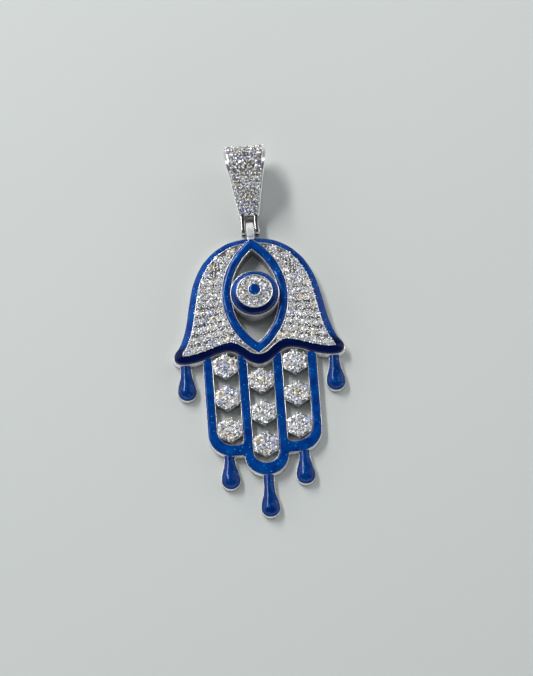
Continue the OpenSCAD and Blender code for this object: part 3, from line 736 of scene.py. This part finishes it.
def build_clusters():
    """Six-sided cups, a little wider at the top."""
    under_z, height, low_r, top_r = 0.3, 1.35, 2.1, 2.22
    bm = bmesh.new()
    for x, y in CLUSTERS:
        made = bmesh.ops.create_cone(bm, cap_ends=True, segments=6, radius1=low_r, radius2=top_r,
                                     depth=height)
        bmesh.ops.transform(bm, matrix=Matrix.Translation((x, y, under_z + height / 2)),
                            verts=made["verts"])
    round_edges(bm, bm.edges[:])
    # The cups take the cut metal, painted dark as shade round their stones
    place(bm, "cluster_cups", "pendant", cut_and_shaded_silver, ["pendant_casting"])


# Hinge and bail


def build_hinge():
    """The ring on the palm with its stem, and the pin through it."""
    outer, inner, half, round_r = 1.35, 0.55, 0.6, 0.15
    stem_middle, stem_size = (0, PIN_Y - outer, PIN_Z - 0.3), (1.18, 1.3, 1.5)
    profile = [(inner, -half), (outer - round_r, -half), (outer, -half + round_r),
               (outer, half - round_r), (outer - round_r, half), (inner, half), (inner, -half)]
    bm = bmesh.new()
    turn(bm, profile, 48)
    lay_across(bm, PIN_Y, PIN_Z)
    rounded_block(bm, stem_middle, stem_size)
    place(bm, "hinge_ring", "pendant", ring_silver, ["pendant_casting"])

    r, half, round_r = 0.5, 1.5, 0.1
    profile = [(0, -half), (r - round_r, -half), (r, -half + round_r), (r, half - round_r),
               (r - round_r, half), (0, half)]
    bm = bmesh.new()
    turn(bm, profile, 32)
    lay_across(bm, PIN_Y, PIN_Z)
    place(bm, "pin", "bail", silver, ["hinge_pin"])


# Length of the bail's straight front, its slope, and the angle that it faces, in the side view
FRONT = BEND_Y - NOSE_Y
SLOPE = 2 * math.atan((BEND_R - NOSE_R) / (BEND_Y - NOSE_Y))
FACING = math.pi / 2 + SLOPE


def direction(a):
    """The direction of an angle in the side view."""
    return Vector((math.cos(a), math.sin(a)))


def front_point(s):
    """The point on the bail's front at s from the low bend."""
    out = direction(FACING)
    return Vector((NOSE_Y, NOSE_R)) + NOSE_R * out + Vector((out.y, -out.x)) * s


def bend_point(a):
    """The point on the bail's top bend that faces angle a."""
    return Vector((BEND_Y, BEND_R)) + BEND_R * direction(a)


def bail_half(y):
    """Half of the bail's width at y."""
    return BAIL_LOW_HALF + BAIL_FLARE * (y - BAIL_LOW_Y) / (BAIL_TOP - BAIL_LOW_Y)


def bail_stations():
    """Places round the side view: (point on the outer face, outward direction, tray depth share)."""
    steps, bend_steps, back_steps = 24, 64, 12
    # The tray sinks over a short stretch of the front, and rises again where the bend turns down
    sink_over, rise_until, rise_over = 0.3, 84, 5
    places = []
    for i in range(steps):
        out = direction(math.radians(lerp(270, 90, i / steps)) + SLOPE * i / steps)
        places.append((Vector((NOSE_Y, NOSE_R)) + NOSE_R * out, out, 0.0))
    for i in range(steps):
        s = FRONT * i / steps
        places.append((front_point(s), direction(FACING), min(1, s / sink_over)))
    for i in range(bend_steps):
        a = lerp(FACING, -math.pi / 2, i / bend_steps)
        turned = math.degrees(math.pi / 2 - a)
        share = max(0, min(1, (rise_until - turned) / rise_over))
        places.append((bend_point(a), direction(a), share))
    for i in range(back_steps):
        places.append((Vector((lerp(BEND_Y, NOSE_Y, i / back_steps), 0)), Vector((0, -1)), 0.0))
    return places


def build_bail():
    """A strip round the side view, with a tray for the stones between two rims."""
    rim, depth, slant = 0.26, 0.3, 0.03
    loops = []
    for point, out, share in bail_stations():
        w = bail_half(point.x)
        deep = depth * share
        # Columns: x, distance in from the outer face
        section = [(-w, BAIL_WALL - 0.05), (-w, 0.08), (-w + 0.03, 0.02), (-w + 0.09, 0), (-w + rim, 0),
                   (-w + rim + slant, deep), (w - rim - slant, deep), (w - rim, 0), (w - 0.09, 0),
                   (w - 0.03, 0.02), (w, 0.08), (w, BAIL_WALL - 0.05), (w - 0.06, BAIL_WALL),
                   (-w + 0.06, BAIL_WALL)]
        loops.append([Vector((x, point.x - out.x * g, point.y - out.y * g)) for x, g in section])
    bm = bmesh.new()
    loft(bm, loops, closed=True)
    place(bm, "bail_strip", "bail", silver, ["bail"])


def build_fork():
    """Two arms with rounded ends, and the bridge between them."""
    arm_r, inside, outside, arm_edge_r = 1.0, 0.73, 1.4, 0.13
    arm_end, arm_rise = NOSE_Y - 0.3, 0.7
    bridge_middle, bridge_size = (0, NOSE_Y - 0.55, PIN_Z - 0.15), (2.7, 1.0, 1.6)
    outline = arc((PIN_Y, PIN_Z), arm_r, 90, 270, 16)
    outline += [Vector((arm_end, PIN_Z - arm_r)), Vector((arm_end, PIN_Z + arm_rise))]
    bm = bmesh.new()
    for arm in ((-outside, -inside), (inside, outside)):
        for ring in loft(bm, [[Vector((x, p.x, p.y)) for p in outline] for x in arm]):
            bmesh.ops.contextual_create(bm, geom=ring)
    bmesh.ops.recalc_face_normals(bm, faces=bm.faces)
    round_edges(bm, [edge for edge in bm.edges if edge.calc_face_angle(0) > SHARP], arm_edge_r)
    rounded_block(bm, bridge_middle, bridge_size)
    place(bm, "bail_fork", "bail", fork_silver, ["bail"])


# Stones


def brilliant():
    """A round cut stone of diameter 1, girdle at z = 0: table, stars, kites, girdle and pavilion."""
    bm = bmesh.new()
    # Columns: radius, height, corners, turn in steps of 22.5 degrees
    rows = [(0.28, 0.155, 8, 0), (0.405, 0.095, 8, 1), (0.5, 0.012, 16, 0), (0.5, -0.012, 16, 0),
            (0.19, -0.26, 8, 1), (0.0, -0.4, 1, 0)]
    for r, z, count, shift in rows:
        for i in range(count):
            a = 2 * math.pi * i / count + shift * math.pi / 8
            bm.verts.new((r * math.cos(a), r * math.sin(a), z))
    bmesh.ops.convex_hull(bm, input=bm.verts)
    bmesh.ops.dissolve_limit(bm, angle_limit=math.radians(2), verts=bm.verts, edges=bm.edges)
    table = max(bm.faces, key=lambda face: face.calc_center_median().z)
    bmesh.ops.poke(bm, faces=[table])
    return mesh_of(bm, "brilliant")


def bead():
    bm = bmesh.new()
    bmesh.ops.create_uvsphere(bm, u_segments=8, v_segments=6, radius=1)
    return mesh_of(bm, "bead")


STONE, BEAD = brilliant(), bead()
# Beads: radius, height over the girdle, and distances along y from the middle of a gap
BEAD_R, BEAD_LIFT, GAP_BEADS = 0.15, 0.05, (-0.34, 0, 0.34)
# How unevenly the stones are set by hand: lean, turn of the beads in degrees; and the spread of the
# painted fire colour over a stone's facets
LEAN, BEAD_TURN, FIRE_SPREAD = 0.09, 6, 0.12
rng = random.Random(7)


def facing(point, normal, size):
    """Moves a unit mesh to a point, its z along the normal."""
    turned = Vector((0, 0, 1)).rotation_difference(normal).to_matrix().to_4x4()
    return Matrix.Translation(point) @ turned @ Matrix.Scale(size, 4)


def build_stones(name, nodes, places, size, body, gaps=(), prongs=8, prong_at=0.57, dark=1.0):
    """Stones at (point, normal), each with its beads, and more beads in the gaps, along y.

    prong_at is in stone diameters. Above 1, dark paints more of the facets in painted shade.
    """
    gems, beads = bmesh.new(), bmesh.new()
    for point, normal in places:
        tilt = Vector((rng.gauss(0, LEAN), rng.gauss(0, LEAN), 1)).normalized()
        lean = (normal + tilt - Vector((0, 0, 1))).normalized()
        spin = Matrix.Rotation(rng.uniform(0, math.pi / 4), 4, "Z")
        join(gems, STONE, facing(point, lean, size) @ spin)
        seat = facing(point, normal, 1)
        for i in range(prongs):
            a = math.radians(360 * i / prongs + rng.uniform(-BEAD_TURN, BEAD_TURN))
            r = prong_at * size
            spot = Matrix.Translation((r * math.cos(a), r * math.sin(a), BEAD_LIFT))
            join(beads, BEAD, seat @ spot @ Matrix.Scale(BEAD_R * rng.uniform(0.7, 1.15), 4))
    for point in gaps:
        for dy in GAP_BEADS:
            spot = point + Vector((rng.uniform(-0.06, 0.06), dy, 0))
            join(beads, BEAD, Matrix.Translation(spot) @ Matrix.Scale(BEAD_R * rng.uniform(0.9, 1.2), 4))
    # Each facet gets its painted light and shade, and each stone a painted fire colour that spreads over
    # its facets
    tone, fire = (gems.faces.layers.float.new(layer) for layer in ("facet_painted_light", "facet_fire"))
    for i, face in enumerate(gems.faces):
        if i % len(STONE.polygons) == 0:
            hue = rng.random()
        face[tone], face[fire] = rng.random() ** dark, hue + rng.gauss(0, FIRE_SPREAD)
    place(gems, name + "_gems", body, stone, nodes, smooth=False)
    place(beads, name + "_beads", body, silver)


def palm_places():
    """Rows that follow the hem and straighten out upwards, and the wide gaps in them."""
    bent_rows, stone_gap, wide_gap = 5, 0.03, 1.3
    crest = max(y for _, y in field_hem) + PAVE_EDGE
    outer = [(p.y, p.x) for p in reversed(field_inside(PAVE_EDGE)[:corner + 1])]
    found, gaps = [], []

    def row_y(k, x):
        bend = max(0, 1 - k / bent_rows)
        return crest + k * PAVE_STEP + (lookup(x, field_hem) + PAVE_EDGE - crest) * bend

    def first_x(y):
        return math.sqrt((ALMOND_OUT + PAVE_EDGE) ** 2 - y * y) - ALMOND_C

    for k in range(int((outer[-1][0] - crest) / PAVE_STEP) + 1):
        y = row_y(k, PALM_W / 4)
        x0 = max(PAVE_STEP / 2, first_x(row_y(k, first_x(y))))
        x1 = lookup(row_y(k, lookup(y, outer)), outer)
        n = 1 + int((x1 - x0) / (PAVE_D + stone_gap))
        for j in range(n):
            x = lerp(x0, x1, j / (n - 1)) if n > 1 else (x0 + x1) / 2
            found.append((x, row_y(k, x)))
            if j and x - found[-2][0] > wide_gap:
                x = (x + found[-2][0]) / 2
                gaps.append((x, row_y(k, x)))
    return found, gaps


def bail_places():
    """Rows over the front of the bail and its top bend."""
    step, sunk, last_turn = 1.1, 0.13, math.radians(75)
    first, last = 1.15 * PAVE_EDGE, FRONT + BEND_R * (SLOPE + last_turn)
    found = []
    for i in range(int((last - first) / step) + 1):
        s = first + i * step
        a = FACING - max(0, s - FRONT) / BEND_R
        out = direction(a)
        point = (front_point(s) if s < FRONT else bend_point(a)) - out * sunk
        room = 2 * (bail_half(point.x) - PAVE_EDGE)
        n = 1 + round(room / PAVE_D)
        for j in range(n):
            x = room * (j / (n - 1) - 0.5) if n > 1 else 0
            found.append((Vector((x, point.x, point.y)), Vector((0, out.x, out.y))))
    return found


def eye_places():
    """A ring round the pupil."""
    count, ring_r, z = 9, 1.95, 4.43
    turns = [math.radians(90 + 360 / count * i) for i in range(count)]
    return [Vector((ring_r * math.cos(a), ring_r * math.sin(a), z)) for a in turns]


def cluster_places():
    """A stone in the middle of each cup and six round it."""
    ring_r, z = 1.31, 1.72
    turns = [math.radians(30 + 60 * i) for i in range(6)]
    spots = [(0, 0)] + [(ring_r * math.cos(a), ring_r * math.sin(a)) for a in turns]
    return [Vector((x + dx, y + dy, z)) for x, y in CLUSTERS for dx, dy in spots]


def build_all_stones():
    eye_stone_d, cluster_stone_d = 1.26, 1.22
    up = Vector((0, 0, 1))
    palm, gaps = palm_places()
    for side, name in ((-1, "left"), (1, "right")):
        places = [(Vector((side * x, y, PALM_TOP_Z - 0.03)), up) for x, y in palm]
        wide = [Vector((side * x, y, PALM_TOP_Z + 0.02)) for x, y in gaps]
        build_stones("palm_" + name, ["palm_stones_" + name], places, PAVE_D, "pendant", gaps=wide)
    places = [(point, up) for point in eye_places()]
    # The eye's stones are painted in more shade
    build_stones("eye", ["eye_stones"], places, eye_stone_d, "pendant", dark=1.9)
    places = [(point, up) for point in cluster_places()]
    nodes = ["cluster_stones_%d" % i for i in range(1, 10)]
    build_stones("cluster", nodes, places, cluster_stone_d, "pendant", prongs=6, prong_at=0.6)
    # The bail's stones are painted in much more shade
    build_stones("bail", ["bail_stones"], bail_places(), PAVE_D, "bail", prongs=6, dark=3.2)


build_palm()
build_palm_enamel()
build_almond()
build_almond_enamel()
build_eye()
build_eye_enamel()
build_fingers()
build_drops()
build_clusters()
build_hinge()
build_bail()
build_fork()
build_all_stones()


# Stage, in metres: pale paper, a room that is bright low down, three lamps, and the photo's camera


def build_paper():
    half_size = 0.8
    bm = bmesh.new()
    bmesh.ops.create_grid(bm, x_segments=1, y_segments=1, size=half_size)
    paper = bpy.data.objects.new("paper", mesh_of(bm, "paper"))
    bpy.context.collection.objects.link(paper)
    paper.data.materials.append(paper_material())


def build_room():
    """Dark overhead and bright near the horizon, most of all on the side of the fingers."""
    world = bpy.data.worlds.new("room")
    bpy.context.scene.world = world
    nodes = Nodes(world)
    coord = nodes.add("TexCoord").outputs["Generated"]
    split = nodes.add("SeparateXYZ", {"Vector": coord}).outputs
    colour = nodes.ramp(split["Z"], [(0.0, (0.95, 0.98, 1.0)), (0.22, (0.95, 0.98, 1.0)),
                                     (0.5, (0.075, 0.08, 0.085)), (1.0, (0.03, 0.033, 0.036))])
    strength = nodes.add("MapRange", {"Value": split["Y"], "From Min": -1.0, "From Max": 1.0,
                                      "To Min": 2.5, "To Max": 0.45}).outputs["Result"]
    background = nodes.add("Background", {"Color": colour, "Strength": strength})
    nodes.add("OutputWorld", {"Surface": background.outputs[0]})


def area_light(name, position, size, power):
    """A soft lamp that faces the pendant, with its second side along the pendant's length."""
    light = bpy.data.lights.new(name, "AREA")
    light.shape, light.size, light.size_y, light.energy = "RECTANGLE", size[0], size[1], power
    lamp = bpy.data.objects.new(name, light)
    lamp.location = position
    back = Vector(position).normalized()
    side = Vector((0, 1, 0)).cross(back).normalized()
    lamp.rotation_euler = Matrix((side, back.cross(side), back)).transposed().to_euler()
    bpy.context.collection.objects.link(lamp)


def build_camera():
    """From the side of the fingers, 24.5 degrees off upright, a little turned, and far away."""
    tilt, roll, distance, view_width = math.radians(24.5), math.radians(4.3), 1.6, 0.1068
    target = Vector((0.00131, -0.00072, 0.001))
    back = Vector((0, -math.sin(tilt), math.cos(tilt)))
    right, up = Vector((1, 0, 0)), Vector((0, math.cos(tilt), math.sin(tilt)))
    x = math.cos(roll) * right - math.sin(roll) * up
    y = math.sin(roll) * right + math.cos(roll) * up
    data = bpy.data.cameras.new("camera")
    data.sensor_width = 36
    data.lens = data.sensor_width * distance / view_width
    data.clip_start, data.clip_end = 0.1, 10
    camera = bpy.data.objects.new("camera", data)
    turned = Matrix((x, y, back)).transposed().to_4x4()
    camera.matrix_world = Matrix.Translation(target + back * distance) @ turned
    bpy.context.collection.objects.link(camera)
    bpy.context.scene.camera = camera


bpy.context.scene.view_settings.view_transform = "Standard"
build_paper()
build_room()
area_light("lamp", (-0.29, 0.42, 0.48), (0.1, 0.5), 2.9)
area_light("window", (-0.6, 0.4, 0.5), (0.9, 0.8), 1.5)
area_light("fill", (0.6, 0.3, 0.55), (0.8, 0.6), 1.3)
build_camera()
